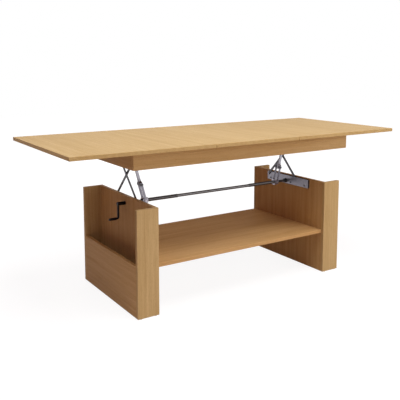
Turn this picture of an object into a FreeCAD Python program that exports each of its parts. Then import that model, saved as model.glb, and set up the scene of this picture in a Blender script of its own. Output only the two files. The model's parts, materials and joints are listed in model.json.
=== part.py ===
"""Coffee table that winds up to dining height and draws out to take a loose middle leaf.

Millimetres. The origin is on the floor under the middle of the base, +X runs along the
table to the right, -Y is the front and +Z is up. The table is drawn wound up and drawn out.
"""
import FreeCAD, Part
import math
import os

from FreeCAD import Vector

# Tabletop
table_height = 710.0
top_width = 700.0
leaf_length = 640.0
insert_length = 460.0
insert_lift = 345.0
board = 16.0

# Base of two open-ended end units and a shelf
base_length = 1136.0
base_depth = 558.0
base_height = 458.0
stile_width = 100.0
shelf_top = 216.0
pocket_rim = 222.0
pocket_floor_top = 64.0
plinth_rise = 8.0
glide_height = 1.5
glide_radius = 7.0
glide_inset = 16.0

# Dowels that hold the boards together
dowel_radius = 4.0
dowel_length = 30.0
dowel_depth_in_face = 11.0
dowel_play = 0.1
stile_dowel_inset = 60.0
pocket_dowel_inset = 36.0
shelf_dowel_inset = 80.0
apron_dowel_inset = 20.0

# Apron frame under the top
apron_overhang = 22.0
apron_step = 19.0
apron_height = 70.0
frame_play = 1.0
corner_leg = 36.0
corner_height = 44.0
cross_rail_height = 53.0
centre_rail_width = 60.0

# Runners that carry the two drawn-out leaves
runner_width = 30.0
runner_height = 22.0
runner_setback = 20.0
runner_end_gap = 90.0
runner_spread = 400.0
runner_play = 0.5
guide_width = 18.0
guide_height = 33.0
tongue_height = 8.0
tongue_depth = 7.5
tongue_drop = 6.0
runner_screw_inset = 40.0

# Scissor arms
lift_travel = 140.0
foot_drop = 18.0
pivot_gap = 48.0
slide_gap = 24.0
arm_width = 12.0
arm_thickness = 3.0
arm_gap = 0.5
arm_back_play = 1.5
arm_front_play = 1.0
pin_radius = 3.5
pin_play = 0.05
slide_play = 0.3
pin_head_radius = 6.0
pin_head = 1.5
pin_shoulder_radius = 5.0
arm_spacer_radius = 7.0
washer_play = 0.2

# Channel rails that the scissor arms stand in
rail_wall = 2.0
rail_groove_floor = 0.8
rail_lip = 13.0
rail_end = 10.0
rail_floor_gap = 5.0
rail_top_gap = 1.0
rail_screw_end = 28.0
rail_screw_offset = 39.0
rail_screw_step = 20.0

# Screws
screw_head_radius = 4.0
screw_head = 2.4
screw_radius = 2.0
screw_length = 13.0
screw_play = 0.1
driver_hole_radius = 5.0

# Spindle, bushes and nuts
spindle_drop = 16.0
spindle_radius = 6.0
spindle_middle_radius = 7.25
thread_radius = 8.5
thread_spare = 6.0
spindle_play = 0.05
bush_radius = 9.0
bush_flange_radius = 12.0
bush_flange = 2.0
collar_radius = 11.0
collar_length = 8.0
collar_play = 0.5
nut_inset = 82.0
nut_length = 24.0
nut_width = 26.0
nut_depth = 26.0
nut_edge = 3.0
trunnion_radius = 4.5
trunnion_length = 4.0

# Crank
crank_throw = 66.0
crank_rod_radius = 5.0
crank_bend = 9.0
crank_hub_radius = 8.0
crank_hub_length = 38.0
crank_hub_play = 0.5
crank_hub_wall = 3.0
grip_pin_radius = 3.5
grip_radius = 6.0
grip_length = 34.0
grip_play = 0.1
grip_end_play = 0.4
grip_stop_radius = 5.0
grip_stop = 1.5
grip_edge = 1.5

# Lifting levers
lever_head_inset = 19.33
lever_head_drop = 44.0
fork_foot_radius = 8.5
fork_bolt_radius = 7.5
fork_leg_width = 11.0
fork_wall = 2.5
fork_play = 0.4
fork_bolt_share = 0.335
fork_bend_length = 13.0
fork_tip = 6.0
bar_width = 12.0
bar_thickness = 8.0
bar_end_radius = 6.0
bar_tail = 9.0
lever_bolt_radius = 3.5
lever_bolt_head_radius = 6.5
bolt_spacer_radius = 5.5
lever_bolt_head = 3.5
pin_spacer_radius = 6.0
lever_pin_end = 1.1

# Brackets that rest on the levers' head pins
bracket_width = 31.8
bracket_wall = 2.5
bracket_plate_length = 44.0
bracket_ear = 9.0
bracket_root = 12.0
bracket_slot_play = 2.0
bracket_clearance = 2.1
bracket_notch_rise = 4.0
bracket_screw_inset = 10.0

# One overrun for every cut, past the faces that it opens
overrun = 1.0

# Planes and lines shared by several pieces
X_AXIS = Vector(1, 0, 0)
Y_AXIS = Vector(0, 1, 0)
Z_AXIS = Vector(0, 0, 1)
ORIGIN = Vector(0, 0, 0)
underside = table_height - board
end_face = base_length / 2
panel_inner = end_face - stile_width
panel_outer = panel_inner + board
stile_back = base_depth / 2 - board
pocket_inner = end_face - board
plinth_top = pocket_floor_top + plinth_rise
apron_end = end_face + apron_overhang
apron_side = base_depth / 2 + apron_step
apron_bottom = underside - apron_height
frame_top = underside - frame_play
cross_rail_bottom = frame_top - cross_rail_height
insert_edge = insert_length / 2
runner_start = insert_edge + runner_setback
runner_end = insert_edge + leaf_length - runner_end_gap
runner_inner_y = runner_spread / 2 - runner_width / 2
runner_outer_y = runner_spread / 2 + runner_width / 2
guide_bottom = frame_top - guide_height
guide_outer_y = runner_outer_y + runner_play + guide_width
guide_end = apron_end - board - corner_leg - frame_play

# Channel rails: one arm runs in them, the other in front of them, and the lower one holds the bush
rail_depth = rail_wall + arm_front_play + arm_thickness + arm_back_play + rail_wall
rail_height = rail_lip + spindle_drop + bush_radius + rail_floor_gap
rail_inner = panel_inner - rail_depth
sliding_arm_x = rail_inner + rail_wall + arm_front_play
fixed_arm_x = rail_inner - arm_gap - arm_thickness

# Scissor geometry: both arms have one length, and the sliding ends run out as the top comes down
foot_height = base_height - foot_drop
head_height = frame_top - rail_top_gap - rail_height + rail_lip
spindle_height = foot_height - spindle_drop
pivot_y = runner_inner_y - pivot_gap
slide_end_y = slide_gap - runner_inner_y
arm_rise = head_height - foot_height
arm_length = math.hypot(pivot_y - slide_end_y, arm_rise - lift_travel)
arm_angle = math.asin(arm_rise / arm_length)
low_arm_angle = math.asin((arm_rise - lift_travel) / arm_length)
slide_y = pivot_y - arm_length * math.cos(arm_angle)
cross_y = (pivot_y + slide_y) / 2
cross_height = (foot_height + head_height) / 2
rail_front = slide_end_y - rail_end
rail_rear = pivot_y + rail_end

# Lever geometry: the nut runs inwards as the lever leans out and the top comes down
nut_x = panel_inner - nut_inset
lever_head_x = panel_inner - lever_head_inset
lever_head_height = underside - lever_head_drop
lever_length = math.hypot(lever_head_x - nut_x, lever_head_height - spindle_height)
lever_angle = math.asin((lever_head_height - spindle_height) / lever_length)
low_lever_angle = math.asin((lever_head_height - lift_travel - spindle_height) / lever_length)
nut_travel = nut_x - lever_head_x + lever_length * math.cos(low_lever_angle)
fork_bolt_at = lever_length * fork_bolt_share
fork_inner = nut_width / 2 + fork_play
fork_outer = fork_inner + fork_wall
grip_inner = bar_thickness / 2
fork_bend_start = fork_bolt_at + bolt_spacer_radius
fork_bend_end = fork_bend_start + fork_bend_length
fork_top = fork_bend_end + fork_tip
fork_bend_turn = 2 * math.atan((fork_inner - grip_inner) / fork_bend_length)
fork_bend_radius = fork_bend_length / math.sin(fork_bend_turn) / 2
thread_inner = nut_x - nut_travel - nut_length / 2 - thread_spare
thread_outer = nut_x + nut_length / 2 + thread_spare
centre_rail_bottom = frame_top - board
bracket_notch = bracket_width / 2 + bracket_clearance
bracket_notch_top = centre_rail_bottom + bracket_notch_rise


def box(low, high):
    """Block between two opposite corners."""
    size = [b - a for a, b in zip(low, high)]
    return Part.makeBox(size[0], size[1], size[2], Vector(*low))


def rod(start, end, radius):
    """Round bar between two points."""
    start = Vector(*start)
    run = Vector(*end) - start
    return Part.makeCylinder(radius, run.Length, start, run)


def prism(points, sweep):
    """Flat outline carried along a vector."""
    corners = [Vector(*point) for point in points]
    return Part.Face(Part.makePolygon(corners + corners[:1])).extrude(Vector(*sweep))


def strap(start, end, start_radius, end_radius, sweep):
    """Plate with two round ends and straight tangent sides, carried along a vector."""
    start = Vector(*start)
    end = Vector(*end)
    sweep = Vector(*sweep)
    along = (end - start).normalize()
    across = sweep.cross(along).normalize()
    sine = (start_radius - end_radius) / (end - start).Length
    cosine = math.sqrt(1 - sine * sine)
    sides = [along * sine + across * side * cosine for side in (1, -1)]
    corners = [start + sides[0] * start_radius, end + sides[0] * end_radius,
               end + sides[1] * end_radius, start + sides[1] * start_radius]
    body = prism(corners, sweep)
    ends = [Part.makeCylinder(start_radius, sweep.Length, start, sweep),
            Part.makeCylinder(end_radius, sweep.Length, end, sweep)]
    return body.fuse(ends).removeSplitter()


def joined(shapes):
    """One solid from several that meet."""
    return shapes[0].fuse(shapes[1:]).removeSplitter()


def mirrored(shape):
    """The left-hand piece of a right-hand one."""
    return shape.mirror(ORIGIN, X_AXIS)


def both_ends(shape):
    """The right-hand and the left-hand piece."""
    return [shape, mirrored(shape)]


def export(name, shapes):
    """Write one sub-part, alone or as a group of separate solids."""
    whole = shapes[0] if len(shapes) == 1 else Part.makeCompound(shapes)
    whole.exportStep("parts/" + name + ".step")


def export_pair(name, shape):
    """Write a right-hand sub-part and its left-hand twin."""
    export("right_" + name, [shape])
    export("left_" + name, [mirrored(shape)])


def dowel(point, direction):
    """Dowel that stands in a board's face at a point and enters the next board's edge."""
    direction = Vector(*direction)
    start = Vector(*point) - direction * (dowel_depth_in_face - dowel_play)
    length = dowel_length - dowel_play - dowel_play
    return Part.makeCylinder(dowel_radius, length, start, direction)


def dowel_hole(point, direction):
    """The bore of one dowel through both boards."""
    direction = Vector(*direction)
    start = Vector(*point) - direction * dowel_depth_in_face
    return Part.makeCylinder(dowel_radius + dowel_play, dowel_length, start, direction)


def base_dowel_seats():
    """Points and directions of the dowels of both end units and the shelf."""
    panel_x = panel_inner + board / 2
    pocket_x = end_face - board / 2
    stile_heights = [stile_dowel_inset, base_height / 2, base_height - stile_dowel_inset]
    pocket_heights = [pocket_floor_top - board / 2, plinth_top + pocket_dowel_inset,
                      pocket_rim - pocket_dowel_inset]
    shelf_ys = [shelf_dowel_inset - stile_back, 0, stile_back - shelf_dowel_inset]
    seats = []
    for end in (1, -1):
        for side in (1, -1):
            for height in stile_heights:
                seats.append(((end * panel_x, side * stile_back, height), (0, -side, 0)))
            for height in pocket_heights:
                seats.append(((end * pocket_x, side * stile_back, height), (0, -side, 0)))
        for y in shelf_ys:
            seats.append(((end * panel_inner, y, shelf_top - board / 2), (-end, 0, 0)))
    return seats


def apron_dowel_seats():
    """Points and directions of the dowels between the long and the short apron boards."""
    x = apron_end - board / 2
    heights = [apron_bottom + apron_dowel_inset, underside - apron_dowel_inset]
    seats = []
    for end in (1, -1):
        for side in (1, -1):
            for height in heights:
                seats.append(((end * x, side * (apron_side - board), height), (0, -side, 0)))
    return seats


def screw(point, direction):
    """Pan-head screw whose head sits on a face at a point and whose shank runs in."""
    point = Vector(*point)
    direction = Vector(*direction)
    head = Part.makeCylinder(screw_head_radius, screw_head, point - direction * screw_head, direction)
    shank = Part.makeCylinder(screw_radius, screw_length, point, direction)
    return head.fuse(shank).removeSplitter()


def screw_hole(point, direction):
    """Hole for one screw's shank, with room at the tip."""
    direction = Vector(*direction)
    length = screw_length + overrun
    return Part.makeCylinder(screw_radius + screw_play, length, Vector(*point), direction)


def rail_screw_ys():
    """Places along a rail of its three screws."""
    return [rail_rear - rail_screw_end, -rail_screw_offset, rail_front + rail_screw_end]


def rail_screw_seats(height):
    """Screw points on the inside of a right-hand rail's back flange."""
    return [((panel_inner - rail_wall, y, height), (1, 0, 0)) for y in rail_screw_ys()]


def stile(end, side):
    """Upright board at one corner of the base."""
    x = min(end * panel_inner, end * end_face)
    y = min(side * stile_back, side * base_depth / 2)
    return box((x, y, glide_height), (x + stile_width, y + board, base_height))


def end_panel():
    """Upright panel between the two stiles, flush with their inner edges."""
    return box((panel_inner, -stile_back, glide_height), (panel_outer, stile_back, base_height))


def pocket_boards():
    """Plinth and low outer panel of the magazine pocket, flush with the stiles' outer edges."""
    levels = [glide_height, plinth_top, pocket_rim]
    return [box((pocket_inner, -stile_back, low), (end_face, stile_back, high))
            for low, high in zip(levels, levels[1:])]


def pocket_floor():
    """Bottom board of the magazine pocket."""
    low = (panel_outer, -stile_back, pocket_floor_top - board)
    return box(low, (pocket_inner, stile_back, pocket_floor_top))


def shelf():
    """Shelf between the two end panels."""
    return box((-panel_inner, -stile_back, shelf_top - board), (panel_inner, stile_back, shelf_top))


def floor_glides():
    """Two round glides under each stile."""
    xs = [panel_inner + glide_inset, end_face - glide_inset]
    y = base_depth / 2 - board / 2
    places = [(end * x, side * y) for end in (1, -1) for x in xs for side in (1, -1)]
    return [rod((x, y, 0), (x, y, glide_height), glide_radius) for x, y in places]


def channel(bottom, top, mouth_up):
    """Folded channel along Y against the right-hand end panel or cross rail."""
    floor = bottom + rail_wall if mouth_up else bottom - overrun
    roof = top + overrun if mouth_up else top - rail_wall
    block = box((rail_inner, rail_front, bottom), (panel_inner, rail_rear, top))
    near = rail_inner + rail_wall
    far = panel_inner - rail_wall
    return block.cut(box((near, rail_front - overrun, floor), (far, rail_rear + overrun, roof)))


def rail_openings(pin_height, screw_height, slot_start):
    """Pivot hole, slide slot, screw holes and driver holes of a right-hand rail."""
    start = rail_inner - overrun
    end = panel_inner + overrun
    lip_end = rail_inner + rail_wall + overrun
    half_slot = pin_radius + slide_play
    pivot = rod((start, pivot_y, pin_height), (end, pivot_y, pin_height), pin_radius + pin_play)
    slot = strap((slot_start, slide_y, pin_height), (slot_start, slide_end_y, pin_height),
                 half_slot, half_slot, (end - slot_start, 0, 0))
    drivers = [rod((start, y, screw_height), (lip_end, y, screw_height), driver_hole_radius)
               for y in rail_screw_ys()]
    return [pivot, slot] + drivers + [screw_hole(*seat) for seat in rail_screw_seats(screw_height)]


def bush_hole(near, far):
    """Hole for a spindle bush through the boards and rails between two planes."""
    start = (near - overrun, 0, spindle_height)
    return rod(start, (far + overrun, 0, spindle_height), bush_radius + spindle_play)


def lower_rail():
    """Channel on the end panel, open upwards, that holds the feet of the arms and the spindle bush."""
    top = foot_height + rail_lip
    body = channel(top - rail_height, top, True)
    openings = rail_openings(foot_height, foot_height - rail_screw_step, rail_inner + rail_groove_floor)
    return body.cut(openings + [bush_hole(rail_inner, panel_inner)])


def upper_rail():
    """Channel on the cross rail, open downwards, cut away in the middle for the lever's bracket."""
    bottom = head_height - rail_lip
    notch = box((rail_inner - overrun, -bracket_notch, bottom - overrun),
                (panel_inner + overrun, bracket_notch, bracket_notch_top))
    body = channel(bottom, bottom + rail_height, False)
    openings = rail_openings(head_height, head_height + rail_screw_step, rail_inner - overrun)
    return body.cut(openings + [notch])


def foot_pivot_pin():
    """Riveted pin across the lower rail, whose end carries the arm in front of the rail."""
    at = (pivot_y, foot_height)
    head_end = fixed_arm_x - washer_play
    start = head_end - pin_head
    arm_end = fixed_arm_x + arm_thickness
    pin = rod((start, *at), (panel_inner, *at), pin_radius)
    head = rod((start, *at), (head_end, *at), pin_head_radius)
    washer = rod((arm_end + washer_play, *at), (rail_inner, *at), pin_shoulder_radius)
    spacer = rod((rail_inner + rail_wall, *at), (panel_inner - rail_wall, *at), pin_shoulder_radius)
    return joined([pin, head, washer, spacer])


def head_pivot_pin():
    """Riveted pin across the upper rail, with shoulders that hold one arm in its place."""
    at = (pivot_y, head_height)
    head_end = rail_inner - pin_head
    arm_end = sliding_arm_x + arm_thickness
    pin = rod((head_end, *at), (panel_inner, *at), pin_radius)
    head = rod((head_end, *at), (rail_inner, *at), pin_head_radius)
    near = rod((rail_inner + rail_wall, *at), (sliding_arm_x - washer_play, *at), pin_shoulder_radius)
    far = rod((arm_end + washer_play, *at), (panel_inner - rail_wall, *at), pin_shoulder_radius)
    return joined([pin, head, near, far])


def foot_slide_pin():
    """Pin that is fixed in the inner arm and runs in the groove and the slot of the lower rail."""
    start = rail_inner + rail_groove_floor + slide_play
    return rod((start, slide_y, foot_height), (panel_inner - slide_play, slide_y, foot_height), pin_radius)


def head_slide_pin():
    """Headed pin that is fixed in the outer arm and runs in the slots of the upper rail."""
    start = fixed_arm_x - pin_head
    pin = rod((start, slide_y, head_height), (panel_inner - slide_play, slide_y, head_height), pin_radius)
    head = rod((start, slide_y, head_height), (fixed_arm_x, slide_y, head_height), pin_head_radius)
    return pin.fuse(head).removeSplitter()


def cross_rivet():
    """Rivet that joins the two arms where they cross, with a spacer between them."""
    start = fixed_arm_x - pin_head
    end = sliding_arm_x + arm_thickness + washer_play + pin_head
    at = (cross_y, cross_height)
    pin = rod((start, *at), (end, *at), pin_radius)
    near = rod((start, *at), (fixed_arm_x, *at), pin_head_radius)
    far = rod((end - pin_head, *at), (end, *at), pin_head_radius)
    spacer = rod((fixed_arm_x + arm_thickness, *at), (sliding_arm_x - washer_play, *at), arm_spacer_radius)
    return joined([pin, near, far, spacer])


def arm(x, foot, head, tight_at):
    """Flat scissor arm from foot to head, with a close hole where its own pin is fixed."""
    bar = strap((x, *foot), (x, *head), arm_width / 2, arm_width / 2, (arm_thickness, 0, 0))
    for at in (foot, (cross_y, cross_height), head):
        radius = pin_radius if at in tight_at else pin_radius + pin_play
        bar = bar.cut(rod((x - overrun, *at), (x + arm_thickness + overrun, *at), radius))
    return bar


def fixed_foot_arm():
    """Arm in front of the rails that turns on the lower one's pivot and slides along the upper one."""
    head = (slide_y, head_height)
    return arm(fixed_arm_x, (pivot_y, foot_height), head, [head, (cross_y, cross_height)])


def sliding_foot_arm():
    """Arm inside the rails that slides in the lower one and turns on the upper one's pivot."""
    foot = (slide_y, foot_height)
    return arm(sliding_arm_x, foot, (pivot_y, head_height), [foot])


def spindle():
    """Long screw into the crank: journals in the bushes, a thread at each end, a plain shaft between."""
    left = -panel_outer - crank_hub_play - crank_hub_length + crank_hub_wall
    at = (0, spindle_height)
    core = rod((left, *at), (panel_inner - collar_play, *at), spindle_radius)
    middle = rod((-thread_inner, *at), (thread_inner, *at), spindle_middle_radius)
    thread = rod((thread_inner, *at), (thread_outer, *at), thread_radius)
    return joined([core, middle] + both_ends(thread))


def spindle_bush(end_x):
    """Flanged bush in the right-hand rail that reaches to a given plane."""
    start = (rail_inner - bush_flange, 0, spindle_height)
    flange = rod(start, (rail_inner, 0, spindle_height), bush_flange_radius)
    sleeve = rod(start, (end_x, 0, spindle_height), bush_radius)
    bore = rod((start[0] - overrun, 0, spindle_height), (end_x + overrun, 0, spindle_height),
               spindle_radius + spindle_play)
    return flange.fuse(sleeve).cut(bore).removeSplitter()


def spindle_collar():
    """Collar that keeps the spindle from sliding out of its right-hand bush."""
    end = rail_inner - bush_flange - collar_play
    start = end - collar_length
    collar = rod((start, 0, spindle_height), (end, 0, spindle_height), collar_radius)
    bore = rod((start - overrun, 0, spindle_height), (end + overrun, 0, spindle_height), spindle_radius)
    return collar.cut(bore)


def trunnion_nut():
    """Nut on the right-hand thread, with a trunnion on each side for the lever's fork."""
    low = (nut_x - nut_length / 2, -nut_width / 2, spindle_height - nut_depth / 2)
    high = (nut_x + nut_length / 2, nut_width / 2, spindle_height + nut_depth / 2)
    block = box(low, high)
    long_edges = [edge for edge in block.Edges if edge.tangentAt(0).cross(X_AXIS).Length == 0]
    block = block.makeChamfer(nut_edge, long_edges)
    reach = fork_outer + trunnion_length - fork_wall
    trunnions = rod((nut_x, -reach, spindle_height), (nut_x, reach, spindle_height), trunnion_radius)
    bore = rod((low[0] - overrun, 0, spindle_height), (high[0] + overrun, 0, spindle_height),
               thread_radius + spindle_play)
    return block.fuse(trunnions).cut(bore).removeSplitter()


def lever_place(shape):
    """Lean an upright lever piece outwards and set its foot on the right-hand nut."""
    shape.rotate(ORIGIN, Y_AXIS, math.degrees(math.pi / 2 - lever_angle))
    shape.translate(Vector(nut_x, 0, spindle_height))
    return shape


def fork_face(offset):
    """Edges along a fork leg's bent sheet, seen along the lever, at an offset from the sheet's middle."""
    x = -fork_foot_radius
    wide = fork_inner + fork_wall / 2
    narrow = grip_inner + fork_wall / 2
    lower = fork_bend_radius + offset
    upper = fork_bend_radius - offset
    near_y = wide - fork_bend_radius
    far_y = narrow + fork_bend_radius
    bends = (0, fork_bend_turn / 2, fork_bend_turn)
    turn_in = [Vector(x, near_y + lower * math.cos(bend), fork_bend_start + lower * math.sin(bend))
               for bend in bends]
    turn_back = [Vector(x, far_y - upper * math.cos(bend), fork_bend_end - upper * math.sin(bend))
                 for bend in reversed(bends)]
    foot = Vector(x, wide + offset, -fork_foot_radius)
    top = Vector(x, narrow + offset, fork_top)
    edges = [Part.LineSegment(foot, turn_in[0]), Part.Arc(*turn_in), Part.Arc(*turn_back),
             Part.LineSegment(turn_back[-1], top)]
    return [edge.toShape() for edge in edges], foot, top


def fork_leg():
    """One flat leg of a fork: beside the nut and the bolt, then drawn in by two arcs to the bar."""
    outside, foot, top = fork_face(fork_wall / 2)
    inside, inner_foot, inner_top = fork_face(-fork_wall / 2)
    ends = [Part.LineSegment(foot, inner_foot).toShape(), Part.LineSegment(top, inner_top).toShape()]
    edges = Part.__sortEdges__(outside + inside + ends)
    sheet = Part.Face(Part.Wire(edges)).extrude(Vector(fork_foot_radius + fork_foot_radius, 0, 0))
    reach = fork_outer + overrun
    half = fork_leg_width / 2
    outline = joined([box((-half, 0, 0), (half, reach, fork_top)),
                      rod((0, 0, 0), (0, reach, 0), fork_foot_radius),
                      rod((0, 0, fork_bolt_at), (0, reach, fork_bolt_at), fork_bolt_radius)])
    bolt_hole = rod((0, 0, fork_bolt_at), (0, reach, fork_bolt_at), lever_bolt_radius)
    foot_hole = rod((0, 0, 0), (0, reach, 0), trunnion_radius + pin_play)
    return sheet.common(outline).cut([bolt_hole, foot_hole]).removeSplitter()


def lever_fork():
    """Fork of two bent legs, one on each side of the nut."""
    leg = fork_leg()
    return Part.makeCompound([lever_place(leg.mirror(ORIGIN, Y_AXIS)), lever_place(leg)])


def lever_bar():
    """Bar from the fork's bolt up to the head pin."""
    half = bar_thickness / 2
    reach = half + overrun
    bar = box((-bar_width / 2, -half, fork_bolt_at - bar_tail), (bar_width / 2, half, lever_length))
    eye = rod((0, -half, lever_length), (0, half, lever_length), bar_end_radius)
    bolt_hole = rod((0, -reach, fork_bolt_at), (0, reach, fork_bolt_at), lever_bolt_radius)
    pin_hole = rod((0, -reach, lever_length), (0, reach, lever_length), pin_radius)
    return lever_place(bar.fuse(eye).cut([bolt_hole, pin_hole]).removeSplitter())


def ring(z, y_near, y_far, radius, bore):
    """Spacer ring on a lever's bolt or head pin."""
    sleeve = rod((0, y_near, z), (0, y_far, z), radius)
    return sleeve.cut(rod((0, y_near - overrun, z), (0, y_far + overrun, z), bore))


def lever_bolts():
    """Fork bolt with its head and nut, the head pin, and the spacers beside the bar."""
    half = bar_thickness / 2
    head = fork_outer + lever_bolt_head
    bolt = joined([rod((0, -head, fork_bolt_at), (0, head, fork_bolt_at), lever_bolt_radius),
                   rod((0, -head, fork_bolt_at), (0, -fork_outer, fork_bolt_at), lever_bolt_head_radius),
                   rod((0, fork_outer, fork_bolt_at), (0, head, fork_bolt_at), lever_bolt_head_radius)])
    pin_reach = bracket_width / 2 + lever_pin_end
    pin = rod((0, -pin_reach, lever_length), (0, pin_reach, lever_length), pin_radius)
    pin_spacer = bracket_width / 2 - bracket_wall - fork_play
    spacers = [ring(fork_bolt_at, half, fork_inner, bolt_spacer_radius, lever_bolt_radius),
               ring(fork_bolt_at, -fork_inner, -half, bolt_spacer_radius, lever_bolt_radius),
               ring(lever_length, half, pin_spacer, pin_spacer_radius, pin_radius),
               ring(lever_length, -pin_spacer, -half, pin_spacer_radius, pin_radius)]
    return Part.makeCompound([lever_place(solid) for solid in [bolt, pin] + spacers])


def head_pin_drift():
    """How far the head pin stands from its rest place in the bracket, half-way down."""
    mid_arm = (arm_angle + low_arm_angle) / 2
    mid_lever = (lever_angle + low_lever_angle) / 2
    mid_drop = arm_rise - arm_length * math.sin(mid_arm)
    x = nut_x - nut_travel / 2 + lever_length * math.cos(mid_lever) - lever_head_x
    z = spindle_height + lever_length * math.sin(mid_lever) - lever_head_height + mid_drop
    return x, z


def lever_bracket():
    """Saddle under the centre rail, with a slanted slot in each cheek for the head pin."""
    drift_x, drift_z = head_pin_drift()
    plate_start = rail_inner - bracket_plate_length
    tip = lever_head_x + drift_x + bracket_ear
    outline = [(plate_start, centre_rail_bottom), (tip, centre_rail_bottom),
               (tip, lever_head_height + drift_z - bracket_ear),
               (lever_head_x + bracket_ear / 2, lever_head_height - bracket_ear),
               (lever_head_x - bracket_ear, lever_head_height - bracket_ear),
               (plate_start, centre_rail_bottom - bracket_root)]
    half = bracket_width / 2
    reach = half + overrun
    cheeks = [prism([(x, y, z) for x, z in outline], (0, bracket_wall, 0))
              for y in (-half, half - bracket_wall)]
    plate_bottom = centre_rail_bottom - bracket_wall
    plate = box((plate_start, -half, plate_bottom), (rail_inner, half, centre_rail_bottom))
    slot_half = pin_radius + bracket_slot_play
    slot = strap((lever_head_x, -reach, lever_head_height),
                 (lever_head_x + drift_x, -reach, lever_head_height + drift_z),
                 slot_half, slot_half, (0, reach + reach, 0))
    return joined(cheeks + [plate]).cut([slot] + [screw_hole(*seat) for seat in bracket_screw_seats()])


def bracket_screw_seats():
    """Screw points on the underside of the right-hand bracket's plate."""
    start = rail_inner - bracket_plate_length
    xs = [start + bracket_screw_inset, start + bracket_plate_length / 2]
    return [((x, 0, centre_rail_bottom - bracket_wall), (0, 0, 1)) for x in xs]


def crank():
    """Cranked rod with its hub, drawn at the right-hand end and used at the left."""
    hub_start = panel_outer + crank_hub_play
    hub_end = hub_start + crank_hub_length
    rod_x = hub_end - crank_rod_radius
    low = spindle_height - crank_throw
    hub = rod((hub_start, 0, spindle_height), (hub_end, 0, spindle_height), crank_hub_radius)
    bore_end = hub_end - crank_hub_wall
    bore = rod((hub_start - overrun, 0, spindle_height), (bore_end, 0, spindle_height), spindle_radius)
    top = Vector(rod_x, 0, spindle_height - spindle_radius)
    knee = Vector(rod_x, 0, low + crank_bend)
    heel = Vector(rod_x + crank_bend, 0, low)
    inset = crank_bend * (1 - math.sqrt(1 / 2))
    middle = Vector(rod_x + inset, 0, low + inset)
    path = Part.Wire([Part.LineSegment(top, knee).toShape(), Part.Arc(knee, middle, heel).toShape()])
    section = Part.Wire(Part.Circle(top, Z_AXIS, crank_rod_radius).toShape())
    bend = path.makePipeShell([section], True, False)
    grip_start = heel.x + grip_end_play
    pin_end = grip_start + grip_length + grip_end_play
    pin = rod((heel.x, 0, low), (pin_end + grip_stop, 0, low), grip_pin_radius)
    stop = rod((pin_end, 0, low), (pin_end + grip_stop, 0, low), grip_stop_radius)
    return joined([hub, bend, pin, stop]).cut(bore)


def crank_grip():
    """Loose sleeve on the crank's pin, drawn at the right-hand end and used at the left."""
    rod_x = panel_outer + crank_hub_play + crank_hub_length - crank_rod_radius
    start = rod_x + crank_bend + grip_end_play
    low = spindle_height - crank_throw
    end = start + grip_length
    sleeve = rod((start, 0, low), (end, 0, low), grip_radius)
    sleeve = sleeve.makeFillet(grip_edge, [edge for edge in sleeve.Edges if edge.Closed])
    bore = rod((start - overrun, 0, low), (end + overrun, 0, low), grip_pin_radius + grip_play)
    return sleeve.cut(bore)


def long_apron(side):
    """Front or rear board of the apron frame."""
    low_y = min(side * apron_side, side * (apron_side - board))
    return box((-apron_end, low_y, apron_bottom), (apron_end, low_y + board, underside))


def end_apron():
    """Short apron board, notched where the leaf runners pass through it."""
    inner = apron_side - board
    body = box((apron_end - board, -inner, apron_bottom), (apron_end, inner, underside))
    low = underside - runner_height - frame_play
    start = apron_end - board - overrun
    notches = []
    for side in (1, -1):
        ys = sorted([side * (runner_inner_y - frame_play), side * (runner_outer_y + frame_play)])
        notches.append(box((start, ys[0], low), (apron_end + overrun, ys[1], underside + overrun)))
    return body.cut(notches)


def corner_blocks():
    """Glue blocks in the four corners of the apron frame, under the runners."""
    x = apron_end - board
    y = apron_side - board
    low = underside - runner_height - frame_play - corner_height
    blocks = []
    for end in (1, -1):
        for side in (1, -1):
            corner = (end * x, side * y, low)
            along = (end * (x - corner_leg), side * y, low)
            across = (end * x, side * (y - corner_leg), low)
            blocks.append(prism([corner, along, across], (0, 0, corner_height)))
    return blocks


def cross_rail():
    """Board across the apron frame that carries an upper rail, the guides and the centre rail."""
    inner = apron_side - board
    body = box((panel_inner, -inner, cross_rail_bottom), (panel_outer, inner, frame_top))
    start = panel_inner - overrun
    end = panel_outer + overrun
    notch_low = (start, -bracket_notch, cross_rail_bottom - overrun)
    notches = [box(notch_low, (end, bracket_notch, bracket_notch_top))]
    for side in (1, -1):
        ys = sorted([side * (runner_inner_y - frame_play), side * guide_outer_y])
        notches.append(box((start, ys[0], guide_bottom), (end, ys[1], frame_top + overrun)))
    seats = rail_screw_seats(head_height + rail_screw_step)
    return body.cut(notches + [screw_hole(*seat) for seat in seats])


def centre_rail():
    """Board between the two upper rails that carries the lever brackets."""
    half = centre_rail_width / 2
    body = box((-rail_inner, -half, centre_rail_bottom), (rail_inner, half, frame_top))
    holes = [screw_hole(*seat) for seat in bracket_screw_seats()]
    return body.cut(holes + [mirrored(hole) for hole in holes])


def runner_guides():
    """Front and rear guide, each with a tongue along it that holds the leaf runners down."""
    face = runner_outer_y + runner_play
    tongue_top = underside - tongue_drop
    guides = []
    for side in (1, -1):
        section = [(guide_outer_y, guide_bottom), (guide_outer_y, frame_top), (face, frame_top),
                   (face, tongue_top), (face - tongue_depth, tongue_top),
                   (face - tongue_depth, tongue_top - tongue_height), (face, tongue_top - tongue_height),
                   (face, guide_bottom)]
        guides.append(prism([(-guide_end, side * y, z) for y, z in section], (guide_end + guide_end, 0, 0)))
    return guides


def leaf():
    """Drawn-out half of the top."""
    half = top_width / 2
    body = box((insert_edge, -half, underside), (insert_edge + leaf_length, half, table_height))
    return body.cut([screw_hole(*seat) for seat in runner_screw_seats()])


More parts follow.
